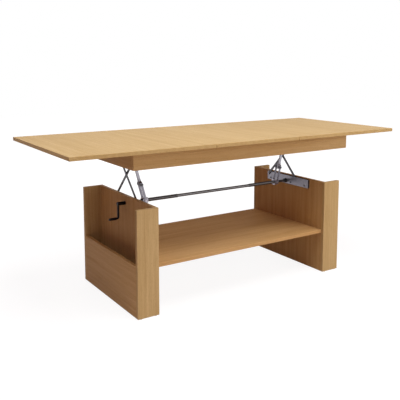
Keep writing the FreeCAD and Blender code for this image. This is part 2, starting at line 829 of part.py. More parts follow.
def leaf_runners():
    """Two grooved battens under a leaf that slide along the guides."""
    groove_floor = runner_outer_y - tongue_depth
    groove_top = underside - tongue_drop + runner_play
    groove_bottom = underside - tongue_drop - tongue_height - runner_play
    low = underside - runner_height
    runners = []
    for side in (1, -1):
        section = [(runner_inner_y, low), (runner_inner_y, underside), (runner_outer_y, underside),
                   (runner_outer_y, groove_top), (groove_floor, groove_top),
                   (groove_floor, groove_bottom), (runner_outer_y, groove_bottom), (runner_outer_y, low)]
        batten = prism([(runner_start, side * y, z) for y, z in section], (runner_end - runner_start, 0, 0))
        runners.append(batten.cut(runner_screw_bores()))
    return runners


def runner_screw_xs():
    """Places along a right-hand runner of its three screws."""
    middle = (runner_start + runner_end) / 2
    return [runner_start + runner_screw_inset, middle, runner_end - runner_screw_inset]


def runner_screw_line():
    """Distance of the runner screws from the table's middle line, inside the groove."""
    return (runner_inner_y + runner_outer_y - tongue_depth) / 2


def runner_screw_seats():
    """Screw points half-way up each right-hand runner, pointing up into the leaf."""
    height = underside - screw_length / 2
    line = runner_screw_line()
    return [((x, side * line, height), (0, 0, 1)) for x in runner_screw_xs() for side in (1, -1)]


def runner_screw_bores():
    """Stepped bores that sink the runner screws into the battens."""
    bores = [screw_hole(*seat) for seat in runner_screw_seats()]
    low = underside - runner_height - overrun
    for (x, y, z), _ in runner_screw_seats():
        bores.append(rod((x, y, low), (x, y, z), screw_head_radius + screw_play))
    return bores


def insert_leaf():
    """Loose middle leaf; its ends slope in below so that it lifts clear as the leaves close."""
    undercut = board * insert_edge / insert_lift
    ends = [(insert_edge, table_height), (insert_edge - undercut, underside),
            (undercut - insert_edge, underside), (-insert_edge, table_height)]
    return prism([(x, -top_width / 2, z) for x, z in ends], (0, top_width, 0))


def build_base():
    """Boards, glides, dowels, lower rails and bushes that stand on the floor."""
    holes = [dowel_hole(*seat) for seat in base_dowel_seats()]
    screws = rail_screw_seats(foot_height - rail_screw_step)
    panel = end_panel().cut([screw_hole(*seat) for seat in screws])
    for end, end_name in ((1, "right"), (-1, "left")):
        for side, side_name in ((-1, "front"), (1, "rear")):
            export(end_name + "_" + side_name + "_stile", [stile(end, side).cut(holes)])
    export("right_end_panel", [panel.cut(holes)])
    export("left_end_panel", [mirrored(panel.cut(bush_hole(panel_inner, panel_outer))).cut(holes)])
    export_pair("pocket_panel", Part.makeCompound([one.cut(holes) for one in pocket_boards()]))
    export("pocket_floors", both_ends(pocket_floor()))
    export("shelf", [shelf().cut(holes)])
    export("floor_glides", floor_glides())
    export("base_dowels", [dowel(*seat) for seat in base_dowel_seats()])
    export_pair("lower_rail", lower_rail())
    export("lower_rail_screws", [twin for seat in screws for twin in both_ends(screw(*seat))])
    export("foot_pivot_pins", both_ends(foot_pivot_pin()))
    export("spindle_bushes", [spindle_bush(panel_inner), mirrored(spindle_bush(panel_outer))])


def build_drive():
    """Spindle, crank, nuts and levers."""
    export("spindle", [spindle()])
    export("spindle_collars", both_ends(spindle_collar()))
    export("crank", [mirrored(crank())])
    export("crank_grip", [mirrored(crank_grip())])
    export_pair("nut", trunnion_nut())
    export_pair("lever_fork", lever_fork())
    export_pair("lever_bar", lever_bar())
    export_pair("lever_bolts", lever_bolts())


def build_scissors():
    """Scissor arms and the pins that go with each."""
    export_pair("fixed_foot_arm", fixed_foot_arm())
    export_pair("fixed_foot_arm_pins", Part.makeCompound([cross_rivet(), head_slide_pin()]))
    export_pair("sliding_foot_arm", sliding_foot_arm())
    export_pair("sliding_foot_arm_pin", foot_slide_pin())


def build_top_frame():
    """Apron frame with what it carries for the lift and the leaves."""
    holes = [dowel_hole(*seat) for seat in apron_dowel_seats()]
    rail_screws = rail_screw_seats(head_height + rail_screw_step)
    export("front_apron", [long_apron(-1).cut(holes)])
    export("rear_apron", [long_apron(1).cut(holes)])
    export("right_end_apron", [end_apron().cut(holes)])
    export("left_end_apron", [mirrored(end_apron()).cut(holes)])
    export("apron_dowels", [dowel(*seat) for seat in apron_dowel_seats()])
    export("corner_blocks", corner_blocks())
    export_pair("cross_rail", cross_rail())
    export("centre_rail", [centre_rail()])
    export("runner_guides", runner_guides())
    export_pair("upper_rail", upper_rail())
    export("head_pivot_pins", both_ends(head_pivot_pin()))
    export_pair("lever_bracket", lever_bracket())
    seats = rail_screws + bracket_screw_seats()
    export("frame_screws", [twin for seat in seats for twin in both_ends(screw(*seat))])


def build_tabletop():
    """Two leaves on their runners, and the loose middle leaf."""
    export_pair("leaf", leaf())
    runners = leaf_runners()
    screws = [screw(*seat) for seat in runner_screw_seats()]
    export("right_runners", runners)
    export("left_runners", [mirrored(runner) for runner in runners])
    export("right_runner_screws", screws)
    export("left_runner_screws", [mirrored(one) for one in screws])
    export("insert_leaf", [insert_leaf()])


os.makedirs("parts", exist_ok=True)
build_base()
build_drive()
build_scissors()
build_top_frame()
build_tabletop()
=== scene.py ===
"""Looks of a table that winds up to dining height and draws out for a middle leaf.

Beech boards with eased edges, a spindle with two threads, a cranked handle and the finish of every
piece, in a plain white studio. Metres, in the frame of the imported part.
"""
import json
import math

import bmesh
import bpy
import numpy as np
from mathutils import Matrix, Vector


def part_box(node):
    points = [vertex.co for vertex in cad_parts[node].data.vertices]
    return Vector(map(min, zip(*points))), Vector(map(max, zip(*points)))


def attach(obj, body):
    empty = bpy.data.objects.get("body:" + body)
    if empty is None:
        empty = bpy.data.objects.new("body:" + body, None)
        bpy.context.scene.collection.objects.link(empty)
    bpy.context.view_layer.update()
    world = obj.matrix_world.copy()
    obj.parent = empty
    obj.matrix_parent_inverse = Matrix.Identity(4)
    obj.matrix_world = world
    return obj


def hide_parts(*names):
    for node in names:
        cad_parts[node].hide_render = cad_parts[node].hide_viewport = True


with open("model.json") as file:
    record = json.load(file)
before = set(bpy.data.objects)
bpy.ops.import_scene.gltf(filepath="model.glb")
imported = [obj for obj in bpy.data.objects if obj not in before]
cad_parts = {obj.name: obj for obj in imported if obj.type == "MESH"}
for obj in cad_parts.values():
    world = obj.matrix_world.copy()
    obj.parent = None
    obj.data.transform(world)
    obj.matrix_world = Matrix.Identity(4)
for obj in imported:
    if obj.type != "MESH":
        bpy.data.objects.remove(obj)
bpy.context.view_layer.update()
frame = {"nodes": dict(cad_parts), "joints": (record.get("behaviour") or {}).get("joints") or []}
JOINTS = {joint["name"]: joint for joint in frame["joints"]}

# Boards
EASE = 0.0011
LEAF_EASE = 0.0014
EASE_STEPS = 4
PLINTH_TOP = 0.072
BUSH_HOLE_RADIUS = 0.00905
INSERT_UNDERCUT = 0.003
RUNNER_PLAY = 0.001
RUNNER_WIDTH = 0.030

# Spindle threads
THREAD_STARTS = 4
THREAD_DEPTH = 0.0009
THREAD_ROWS_PER_CREST = 8
THREAD_FADE = 0.004
THREAD_SPARE = 0.006
JOURNAL_RADIUS = 0.006
MIDDLE_RADIUS = 0.00725
SPINDLE_COLUMNS = 40
SPINDLE_CHAMFER = 0.001

# Crank and grip
HUB_WALL = 0.003
HUB_EASE = 0.0014
CRANK_COLUMNS = 32
CRANK_ROD_RADIUS = 0.005
CRANK_BEND = 0.009
CRANK_BEND_STEPS = 14
GRIP_PIN_RADIUS = 0.0035
GRIP_STOP = 0.0015
GRIP_STOP_RADIUS = 0.005
GRIP_STOP_CHAMFER = 0.0005
GRIP_EASE = 0.0016
GRIP_BORE_RADIUS = 0.0036
GRIP_ROWS = 121
GRIP_RINGS = 5
GRIP_RING_DEPTH = 0.00035
GRIP_RING_NARROWING = 3
GRIP_SWELL = 0.0007

# Points closer than this are one point
MERGE = 0.000002
# Edges that turn by more than this are sharp
SHARP_FROM = math.radians(38)

# Finishes: how much a surface mirrors, and how deep its relief is
WOOD_SHEEN = 0.04
SHELF_SHEEN = 0.004
BLACK_SHEEN = 0.15
NYLON_SHEEN = 0.5
RELIEF_STRENGTH = 0.35
FOIL_RELIEF = 0.0001
RAW_WOOD_RELIEF = 0.0003
METAL_RELIEF = 0.00005
ENAMEL_RELIEF = 0.00004
GRIP_RELIEF = 0.0001
NYLON_RELIEF = 0.00006

# Range that holds most values of a noise
MOST = (0.3, 0.7)

# Wood pattern: scales along and across the grain, ranges of the noise that show, and shares in the colour
WANDER = (1.6, 7.0, 7.0)
WANDER_ACROSS = 0.03
WANDER_DEEP = 0.02
CLOUDS = (1.3, 5.2, 5.2)
CLOUD_SHARE = 0.2
STREAKS = (1.3, 55.0, 55.0)
STREAK_SHARE = 0.5
LINES = (6.0, 520.0, 520.0)
LINE_RANGE = (0.32, 0.7)
LINE_SHARE = 0.3
LINE_HEIGHT = 0.5
RAYS = (190.0, 1100.0, 1100.0)
RAY_RANGE = (0.66, 0.76)
RAY_SHARE = 0.45
WOOD_BLUR = (0.4, 0.52)

# Metal pattern
CRYSTALS = 150.0
TARNISH = 24.0
METAL_BLUR = (0.26, 0.38)
DRAWING_LINES = (900.0, 900.0, 60.0)
DRAWING_BLUR = 0.1
RUBS = 70.0
RUB_RANGE = (0.58, 0.75)
RUB_SHARE = 0.5

# Pattern of enamel and plastic
PEEL = 900.0
DUST = 60.0
DUST_RANGE = (0.45, 0.75)
DUST_SHARE = 0.35
DUST_BLUR = 0.12

# View of the photograph, taken as a square picture
VIEW_FROM = (-1.6257, -2.3611, 1.0459)
VIEW_YAW = math.radians(33.136)
VIEW_DOWN = math.radians(7.042)
VIEW_LENS = 53.63
VIEW_SHIFT = -0.16

# Studio
AMBIENT = 0.156
AMBIENT_TINT = (1.0, 0.44, 0.52, 1.0)
FLOOR_HALF = 9.0
FLOOR_NEAR = 1.0
FLOOR_FAR = 2.6
FLOOR_GLOW = 0.895
FLOOR_PAPER = (0.17, 0.17, 0.17, 1.0)
FLOOR_BOUNCE = (0.6, 0.5, 0.44, 1.0)
LIGHT_AIM = (0.0, 0.0, 0.5)
WHITE = (1.0, 1.0, 1.0, 1.0)
LAMPS = [
    {"name": "key", "direction": (0.0, -0.35, 0.93), "distance": 3.4, "size": 2.2, "level": 0.797},
    {"name": "left_fill", "direction": (-0.68, -0.12, 0.72), "distance": 3.4, "size": 1.4, "level": 0.165},
    {"name": "front_fill", "direction": (0.02, -0.97, 0.21), "distance": 4.0, "size": 3.0, "level": 0.14},
    {"name": "right_fill", "direction": (0.6, -0.75, 0.27), "distance": 4.0, "size": 2.4, "level": 0.29},
    {"name": "rear_fill", "direction": (0.25, 0.9, 0.3), "distance": 4.0, "size": 2.0, "level": 0.29,
     "mirrored": False},
]


def tone(red, green, blue):
    """A colour written as screen values from 0 to 255, turned to linear light."""
    share = np.array([red, green, blue]) / 255
    linear = np.where(share <= 0.04045, share / 12.92, ((share + 0.055) / 1.055) ** 2.4)
    return (*linear.tolist(), 1.0)


# Shader nodes


def add_node(tree, kind, values=None, **settings):
    """One node with its settings and the values of its unlinked inputs."""
    node = tree.nodes.new(kind)
    for name, value in settings.items():
        setattr(node, name, value)
    for name, value in (values or {}).items():
        node.inputs[name].default_value = value
    return node


def maths(tree, operation, first, second):
    """Sum, product or other operation on two sockets or numbers."""
    node = add_node(tree, "ShaderNodeMath", operation=operation)
    for socket, value in zip(node.inputs, (first, second)):
        if isinstance(value, bpy.types.NodeSocket):
            tree.links.new(value, socket)
        else:
            socket.default_value = value
    return node.outputs[0]


def stretched(tree, vector, factors):
    """A vector multiplied axis by axis."""
    node = add_node(tree, "ShaderNodeVectorMath", operation="MULTIPLY")
    tree.links.new(vector, node.inputs[0])
    node.inputs[1].default_value = factors
    return node.outputs[0]


def noise(tree, vector, scale, detail, roughness=0.5):
    """Cloudy value between 0 and 1."""
    values = {"Scale": scale, "Detail": detail, "Roughness": roughness}
    node = add_node(tree, "ShaderNodeTexNoise", values)
    tree.links.new(vector, node.inputs["Vector"])
    return node.outputs["Fac"]


def spread(tree, value, low, high, start=0.0, end=1.0):
    """A value between two limits stretched to another pair of limits."""
    limits = {"From Min": low, "From Max": high, "To Min": start, "To Max": end}
    node = add_node(tree, "ShaderNodeMapRange", limits)
    tree.links.new(value, node.inputs["Value"])
    return node.outputs["Result"]


def blended(tree, factor, first, second):
    """Two colours mixed by a factor."""
    node = add_node(tree, "ShaderNodeMix", data_type="RGBA")
    tree.links.new(factor, node.inputs["Factor"])
    for name, value in (("A", first), ("B", second)):
        socket = [s for s in node.inputs if s.name == name and s.type == "RGBA"][0]
        if isinstance(value, bpy.types.NodeSocket):
            tree.links.new(value, socket)
        else:
            socket.default_value = value
    return [s for s in node.outputs if s.type == "RGBA"][0]


def streaked(tree, vector, scales, detail, roughness=0.5):
    """Cloudy value with a scale of its own along each axis."""
    return noise(tree, stretched(tree, vector, scales), 1.0, detail, roughness)


def new_group(name, colours, numbers=()):
    """An empty pattern group: place, colours and numbers in, and colour, roughness and height out."""
    group = bpy.data.node_groups.new(name, "ShaderNodeTree")
    kinds = {"Vector": "NodeSocketVector"}
    kinds.update({label: "NodeSocketColor" for label in colours})
    kinds.update({label: "NodeSocketFloat" for label in numbers})
    for label, kind in kinds.items():
        group.interface.new_socket(label, in_out="INPUT", socket_type=kind)
    group.interface.new_socket("Color", in_out="OUTPUT", socket_type="NodeSocketColor")
    for label in ("Roughness", "Height"):
        group.interface.new_socket(label, in_out="OUTPUT", socket_type="NodeSocketFloat")
    source = group.nodes.new("NodeGroupInput").outputs
    target = group.nodes.new("NodeGroupOutput").inputs
    return group, source, target


def wood_grain_group():
    """Wood with its grain along X: wandering streaks, fine lines and the short dark rays of beech."""
    group, source, target = new_group("wood_grain", ("Pale", "Deep", "Ray"))
    place = source["Vector"]
    wander = streaked(group, place, WANDER, detail=2.0)
    shift = add_node(group, "ShaderNodeCombineXYZ")
    group.links.new(maths(group, "MULTIPLY", wander, WANDER_ACROSS), shift.inputs["Y"])
    group.links.new(maths(group, "MULTIPLY", wander, WANDER_DEEP), shift.inputs["Z"])
    moved = add_node(group, "ShaderNodeVectorMath", operation="ADD")
    group.links.new(place, moved.inputs[0])
    group.links.new(shift.outputs[0], moved.inputs[1])
    grain = moved.outputs[0]
    clouds = spread(group, streaked(group, place, CLOUDS, detail=2.0), *MOST)
    streaks = spread(group, streaked(group, grain, STREAKS, detail=4.0, roughness=0.62), *MOST)
    lines = spread(group, streaked(group, grain, LINES, detail=2.0), *LINE_RANGE)
    rays = spread(group, streaked(group, grain, RAYS, detail=0.0), *RAY_RANGE)
    depth = maths(group, "MULTIPLY", streaks, STREAK_SHARE)
    for value, share in ((lines, LINE_SHARE), (clouds, CLOUD_SHARE)):
        depth = maths(group, "ADD", depth, maths(group, "MULTIPLY", value, share))
    ground = blended(group, depth, source["Pale"], source["Deep"])
    ray_share = maths(group, "MULTIPLY", rays, RAY_SHARE)
    height = maths(group, "SUBTRACT", maths(group, "MULTIPLY", lines, LINE_HEIGHT), rays)
    group.links.new(blended(group, ray_share, ground, source["Ray"]), target["Color"])
    group.links.new(spread(group, lines, 0.0, 1.0, *WOOD_BLUR), target["Roughness"])
    group.links.new(height, target["Height"])
    return group


def worn_metal_group():
    """Plated or drawn metal: patches of crystal, fine drawing lines and faint rubbed spots."""
    group, source, target = new_group("worn_metal", ("Ground", "Patch", "Rubbed"))
    place = source["Vector"]
    cells = add_node(group, "ShaderNodeTexVoronoi", {"Scale": CRYSTALS})
    group.links.new(place, cells.inputs["Vector"])
    crystal = add_node(group, "ShaderNodeSeparateColor")
    group.links.new(cells.outputs["Color"], crystal.inputs[0])
    drawn = streaked(group, place, DRAWING_LINES, detail=2.0)
    tarnish = noise(group, place, TARNISH, detail=3.0, roughness=0.6)
    patch = maths(group, "MULTIPLY", crystal.outputs[0], spread(group, tarnish, *MOST))
    rubbed = spread(group, noise(group, place, RUBS, detail=4.0, roughness=0.7), *RUB_RANGE)
    rub_share = maths(group, "MULTIPLY", rubbed, RUB_SHARE)
    colour = blended(group, patch, source["Ground"], source["Patch"])
    blur = spread(group, tarnish, *MOST, *METAL_BLUR)
    blur = maths(group, "ADD", blur, maths(group, "MULTIPLY", drawn, DRAWING_BLUR))
    group.links.new(blended(group, rub_share, colour, source["Rubbed"]), target["Color"])
    group.links.new(blur, target["Roughness"])
    group.links.new(drawn, target["Height"])
    return group


def moulded_group():
    """Paint or moulded plastic: fine orange-peel, faint dust and a slow change of gloss."""
    group, source, target = new_group("moulded_skin", ("Ground", "Dust"), ("Gloss Blur",))
    place = source["Vector"]
    peel = noise(group, place, PEEL, detail=2.0)
    cloud = noise(group, place, DUST, detail=4.0, roughness=0.65)
    dust = maths(group, "MULTIPLY", spread(group, cloud, *DUST_RANGE), DUST_SHARE)
    blur = maths(group, "ADD", source["Gloss Blur"], spread(group, cloud, *MOST, 0.0, DUST_BLUR))
    group.links.new(blended(group, dust, source["Ground"], source["Dust"]), target["Color"])
    group.links.new(blur, target["Roughness"])
    group.links.new(peel, target["Height"])
    return group


GRAIN = wood_grain_group()
METAL = worn_metal_group()
SKIN = moulded_group()

# Turns that bring a board's grain, along X, Y or Z, to the pattern's X
GRAIN_TURNS = {"X": (0.0, 0.0, 0.0), "Y": (0.0, 0.0, -math.pi / 2), "Z": (0.0, math.pi / 2, 0.0)}


def new_material(name, group, values, relief, turn=(0.0, 0.0, 0.0), offset=(0.0, 0.0, 0.0)):
    """A material whose colour, roughness and relief come from a group on object coordinates."""
    material = bpy.data.materials.new(name)
    material.use_nodes = True
    tree = material.node_tree
    shader = tree.nodes["Principled BSDF"]
    place = add_node(tree, "ShaderNodeTexCoord").outputs["Object"]
    mapping = add_node(tree, "ShaderNodeMapping", {"Rotation": turn, "Location": offset})
    tree.links.new(place, mapping.inputs["Vector"])
    pattern = add_node(tree, "ShaderNodeGroup", node_tree=group)
    for label, value in values.items():
        pattern.inputs[label].default_value = value
    tree.links.new(mapping.outputs["Vector"], pattern.inputs["Vector"])
    bump = add_node(tree, "ShaderNodeBump", {"Strength": RELIEF_STRENGTH, "Distance": relief})
    tree.links.new(pattern.outputs["Height"], bump.inputs["Height"])
    tree.links.new(pattern.outputs["Color"], shader.inputs["Base Color"])
    tree.links.new(pattern.outputs["Roughness"], shader.inputs["Roughness"])
    tree.links.new(bump.outputs["Normal"], shader.inputs["Normal"])
    return material, shader


# Tones of the foil on the boards, and of wood without a finish; the stiles, shelf and top are one foil in
# copies toned for how light falls
BOARD_FOIL = {"Pale": tone(213, 182, 130), "Deep": tone(183, 146, 90), "Ray": tone(146, 104, 60)}
# Stile copy of the foil: painted light, toned lighter for the stiles' lit fronts
STILE_FOIL_LIT_TONE = {"Pale": tone(214, 189, 139), "Deep": tone(176, 144, 90), "Ray": tone(144, 105, 62)}
# Shelf copy of the foil: painted shade, toned redder for the shelf's shade under the top
SHELF_FOIL_SHADE_TONE = {"Pale": tone(219, 182, 128), "Deep": tone(187, 144, 87), "Ray": tone(150, 103, 58)}
# Top copy of the foil: painted light, toned less red for the lit top and its sheen
TOP_FOIL_LIT_TONE = {"Pale": tone(206, 179, 126), "Deep": tone(182, 150, 94), "Ray": tone(150, 108, 64)}
RAW_WOOD = {"Pale": tone(206, 172, 130), "Deep": tone(180, 141, 99), "Ray": tone(140, 100, 64)}


def beech(name, grain, colours=BOARD_FOIL, offset=(0.0, 0.0, 0.0), sheen=WOOD_SHEEN, relief=FOIL_RELIEF):
    """Beech with its grain along one axis: satin foil, or planed wood that is rougher and greyer."""
    material, shader = new_material(name, GRAIN, colours, relief, GRAIN_TURNS[grain], offset)
    shader.inputs["Specular IOR Level"].default_value = sheen
    return material


def bare_metal(name, ground, patch, rubbed):
    """Plated, oiled or drawn metal from the tones of its ground, its crystals and its rubbed spots."""
    colours = {"Ground": tone(*ground), "Patch": tone(*patch), "Rubbed": tone(*rubbed)}
    material, shader = new_material(name, METAL, colours, METAL_RELIEF)
    shader.inputs["Metallic"].default_value = 1.0
    return material


def moulded(name, ground, dust, blur, relief, sheen):
    """Enamel or moulded plastic from the tones of its ground and its dust, and the blur of its gloss."""
    values = {"Ground": tone(*ground), "Dust": tone(*dust), "Gloss Blur": blur}
    material, shader = new_material(name, SKIN, values, relief)
    shader.inputs["Specular IOR Level"].default_value = sheen
    return material


LENGTHWISE = beech("beech_lengthwise", "X")
# The shelf takes its painted-shade copy of the foil
SHELF = beech("beech_shelf_painted_shade", "X", SHELF_FOIL_SHADE_TONE, sheen=SHELF_SHEEN)
UPRIGHT = beech("beech_upright", "Z")
# The stiles take their painted-light copy of the foil
STILE = beech("beech_stile_painted_light", "Z", STILE_FOIL_LIT_TONE)
CROSSWISE = beech("beech_crosswise", "Y")
# The leaves and the insert take the top's painted-light copy of the foil
LEFT_LEAF = beech("beech_left_leaf", "Y", TOP_FOIL_LIT_TONE, offset=(0.31, 0.17, 0.0))
INSERT = beech("beech_insert", "Y", TOP_FOIL_LIT_TONE, offset=(1.70, 0.83, 0.0))
RIGHT_LEAF = beech("beech_right_leaf", "Y", TOP_FOIL_LIT_TONE, offset=(3.35, 1.49, 0.0))
RAW_LENGTHWISE = beech("raw_beech_lengthwise", "X", RAW_WOOD, relief=RAW_WOOD_RELIEF)
RAW_CROSSWISE = beech("raw_beech_crosswise", "Y", RAW_WOOD, relief=RAW_WOOD_RELIEF)
# Rails, forks and lever bars are the nuts' zinc painted darker: painted shade for the dark things they
# mirror, the lever bars' less dark for their lit upper part
ZINC = bare_metal("zinc_plate_painted_shade", (122, 119, 127), (144, 141, 149), (166, 163, 170))
LEVER_ZINC = bare_metal("lever_zinc_painted_shade", (144, 141, 148), (162, 159, 166), (180, 177, 183))
NUT_ZINC = bare_metal("bright_zinc", (172, 167, 178), (188, 185, 194), (200, 198, 204))
OILED = bare_metal("oiled_steel", (74, 73, 76), (86, 85, 88), (128, 126, 128))
DRAWN = bare_metal("drawn_steel", (94, 92, 93), (106, 104, 105), (146, 143, 142))
ENAMEL = moulded("black_enamel", (20, 16, 14), (38, 34, 31), 0.3, ENAMEL_RELIEF, BLACK_SHEEN)
PLASTIC = moulded("black_plastic", (24, 23, 23), (50, 48, 46), 0.42, GRIP_RELIEF, BLACK_SHEEN)
NYLON = moulded("grey_nylon", (78, 77, 78), (110, 108, 106), 0.4, NYLON_RELIEF, NYLON_SHEEN)
GLIDE_NYLON = moulded("tan_nylon", (176, 146, 108), (196, 172, 138), 0.4, NYLON_RELIEF, NYLON_SHEEN)


# Surfaces


def grid_faces(rows, columns, close_rows=False):
    """Quads of a grid that closes round its columns, and round its rows where asked."""
    index = np.arange(rows * columns).reshape(rows, columns)
    if close_rows:
        index = np.vstack([index, index[:1]])
    beside = np.roll(index, -1, axis=1)
    quads = np.stack([index[:-1], beside[:-1], beside[1:], index[1:]], axis=-1)
    return quads.reshape(-1, 4).tolist()


def piece(name, points, faces, material, body, nodes):
    """One finished piece: doubles merged, faces outwards, on its body and in place of its nodes."""
    mesh = bpy.data.meshes.new(name)
    mesh.from_pydata(points.reshape(-1, 3).tolist(), [], faces)
    work = bmesh.new()
    work.from_mesh(mesh)
    bmesh.ops.remove_doubles(work, verts=work.verts, dist=MERGE)
    bmesh.ops.recalc_face_normals(work, faces=work.faces)
    work.to_mesh(mesh)
    work.free()
    mesh.polygons.foreach_set("use_smooth", np.ones(len(mesh.polygons), bool))
    mesh.set_sharp_from_angle(angle=SHARP_FROM)
    mesh.materials.append(material)
    made = bpy.data.objects.new(name, mesh)
    bpy.context.scene.collection.objects.link(made)
    weighted = made.modifiers.new("flat_faces", "WEIGHTED_NORMAL")
    weighted.keep_sharp = True
    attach(made, body)
    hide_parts(*nodes)


def joined(parts):
    """Points and faces of several surfaces as one list of each."""
    starts = np.cumsum([0] + [len(points) for points, _ in parts[:-1]])
    faces = [[int(start) + corner for corner in face]
             for start, (_, part) in zip(starts, parts) for face in part]
    return np.vstack([points for points, _ in parts]), faces


def plate(outline, miters, near, far, axis, ease=EASE, rim=None):
    """A board or plate with eased edges.

    The outline goes round a section of two quarter circles and the edge between them: each row is
    the outline drawn in along its miters by what the quarter circle takes, at that row's depth along
    the axis. Two flat sides close it, or run to a round rim where the plate has a hole.
    """
    quarter = np.linspace(0, math.pi / 2, EASE_STEPS + 1)
    drawn_in = ease * np.concatenate([1 - np.sin(quarter), 1 - np.cos(quarter)])
    depth = np.concatenate([near + ease * (1 - np.cos(quarter)), far - ease * (1 - np.sin(quarter))])
    flat = outline[None] - drawn_in[:, None, None] * miters[None]
    if rim is not None:
        flat = np.concatenate([rim[None], flat, rim[None]])
        depth = np.concatenate([[near], depth, [far]])
    rows, columns = flat.shape[:2]
    points = np.empty((rows, columns, 3))
    points[..., [k for k in range(3) if k != axis]] = flat
    points[..., axis] = depth[:, None]
    faces = grid_faces(rows, columns, close_rows=rim is not None)
    if rim is None:
        last = (rows - 1) * columns
        faces += [list(range(columns)), list(range(last, last + columns))]
    return points.reshape(-1, 3), faces


def edge_normals(corners):
    """Outward normals of the edge before and the edge after each corner of a counter-clockwise outline."""
    edges = np.roll(corners, -1, axis=0) - corners
    edges /= np.linalg.norm(edges, axis=1)[:, None]
    after = np.stack([edges[:, 1], -edges[:, 0]], axis=-1)
    return np.roll(after, 1, axis=0), after


def miters_between(before, after):
    """Direction that draws a corner in by a unit along both of its edge normals."""
    return (before + after) / (1 + np.sum(before * after, axis=1))[:, None]


def rounded_outline(corners, ease, steps=EASE_STEPS):
    """Outline whose corners are arcs from one edge normal to the next, and the directions they face."""
    corners = np.array(corners, float)
    before, after = edge_normals(corners)
    first = np.arctan2(before[:, 1], before[:, 0])
    sweep = np.arccos(np.sum(before * after, axis=1))
    turn = first[:, None] + sweep[:, None] * np.linspace(0, 1, steps + 1)
    facing = np.stack([np.cos(turn), np.sin(turn)], axis=-1)
    centres = corners - ease * miters_between(before, after)
    return (centres[:, None] + ease * facing).reshape(-1, 2), facing.reshape(-1, 2)


def sharp_outline(corners):
    """Outline through sharp corners, with the miter of each."""
    corners = np.array(corners, float)
    return corners, miters_between(*edge_normals(corners))


def board_between(low, high, ease=EASE, hole=None):
    """A board between two corners, all edges eased, with an optional round hole through its thickness."""
    low, high = np.array(low), np.array(high)
    axis = int(np.argmin(high - low))
    others = [k for k in range(3) if k != axis]
    (left, bottom), (right, top) = low[others], high[others]
    corners = [(right, top), (left, top), (left, bottom), (right, bottom)]
    steps = 2 * EASE_STEPS if hole else EASE_STEPS
    outline, facing = rounded_outline(corners, ease, steps)
    rim = None
    if hole:
        centre, radius = hole
        turn = np.linspace(0, 2 * math.pi, len(outline), endpoint=False) + math.pi / len(outline)
        rim = np.array(centre) + radius * np.stack([np.cos(turn), np.sin(turn)], axis=-1)
    return plate(outline, facing, low[axis], high[axis], axis, ease, rim)


def make_boards():
    """Every plain board of the base, the apron and the top, in place of its node."""
    bodies = {"left_leaf": "left_leaf", "right_leaf": "right_leaf", "front_apron": "top_frame",
              "rear_apron": "top_frame"}
    finishes = {"shelf": SHELF, "right_end_panel": UPRIGHT, "front_apron": LENGTHWISE,
                "rear_apron": LENGTHWISE, "left_leaf": LEFT_LEAF, "right_leaf": RIGHT_LEAF}
    stiles = [end + side + "_stile" for end in ("left_", "right_") for side in ("front", "rear")]
    finishes.update({name: STILE for name in stiles})
    for name, finish in finishes.items():
        points, faces = board_between(*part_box(name), LEAF_EASE if name.endswith("leaf") else EASE)
        piece(name + "_board", points, faces, finish, bodies.get(name, "base"), [name])


def make_insert():
    """The loose middle leaf, whose ends slope in a little below."""
    low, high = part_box("insert_leaf")
    corners = [(high.x, high.z), (low.x, high.z), (low.x + INSERT_UNDERCUT, low.z),
               (high.x - INSERT_UNDERCUT, low.z)]
    outline, facing = rounded_outline(corners, LEAF_EASE)
    points, faces = plate(outline, facing, low.y, high.y, 1, LEAF_EASE)
    piece("insert_leaf_board", points, faces, INSERT, "insert_leaf", ["insert_leaf"])


def make_left_end_panel():
    """The left-hand end panel, with the hole for the spindle's bush."""
    low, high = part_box("left_end_panel")
    bush_low, bush_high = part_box("spindle_bushes")
    centre = ((bush_low.y + bush_high.y) / 2, (bush_low.z + bush_high.z) / 2)
    points, faces = board_between(low, high, hole=(centre, BUSH_HOLE_RADIUS))
    piece("left_end_panel_board", points, faces, UPRIGHT, "base", ["left_end_panel"])


def make_pockets():
    """Pocket panels, each a board above a plinth, and the two pocket floors."""
    for end in ("left", "right"):
        node = end + "_pocket_panel"
        low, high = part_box(node)
        plinth_high = (high.x, high.y, PLINTH_TOP)
        panel_low = (low.x, low.y, PLINTH_TOP)
        points, faces = joined([board_between(low, plinth_high), board_between(panel_low, high)])
        piece(node + "_boards", points, faces, CROSSWISE, "base", [node])
    low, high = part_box("pocket_floors")
    panel_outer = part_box("right_end_panel")[1].x
    parts = []
    for end in (1, -1):
        xs = sorted([end * high.x, end * panel_outer])
        parts.append(board_between((xs[0], low.y, low.z), (xs[1], high.y, high.z)))
    points, faces = joined(parts)
    piece("pocket_floor_boards", points, faces, CROSSWISE, "base", ["pocket_floors"])


def make_end_aprons():
    """Short apron boards, notched where the leaf runners pass through them."""
    runner_low, runner_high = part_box("right_runners")
    outer = runner_high.y + RUNNER_PLAY
    inner = runner_high.y - RUNNER_WIDTH - RUNNER_PLAY
    sill = runner_low.z - RUNNER_PLAY
    for end in ("left", "right"):
        node = end + "_end_apron"
        low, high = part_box(node)
        corners = [(low.y, low.z), (high.y, low.z), (high.y, high.z), (outer, high.z), (outer, sill),
                   (inner, sill), (inner, high.z), (-inner, high.z), (-inner, sill), (-outer, sill),
                   (-outer, high.z), (low.y, high.z)]
        outline, miters = sharp_outline(corners)
        points, faces = plate(outline, miters, low.x, high.x, 0)
        piece(node + "_board", points, faces, CROSSWISE, "top_frame", [node])


def turned(along, radius, centre, columns):
    """A profile of distances along X and radii, turned about a line parallel to X."""
    turn = np.linspace(0, 2 * math.pi, columns, endpoint=False)
    points = np.empty((len(along), columns, 3))
    points[..., 0] = np.asarray(along)[:, None]
    points[..., 1] = centre[0] + np.asarray(radius)[:, None] * np.cos(turn)
    points[..., 2] = centre[1] + np.asarray(radius)[:, None] * np.sin(turn)
    return points


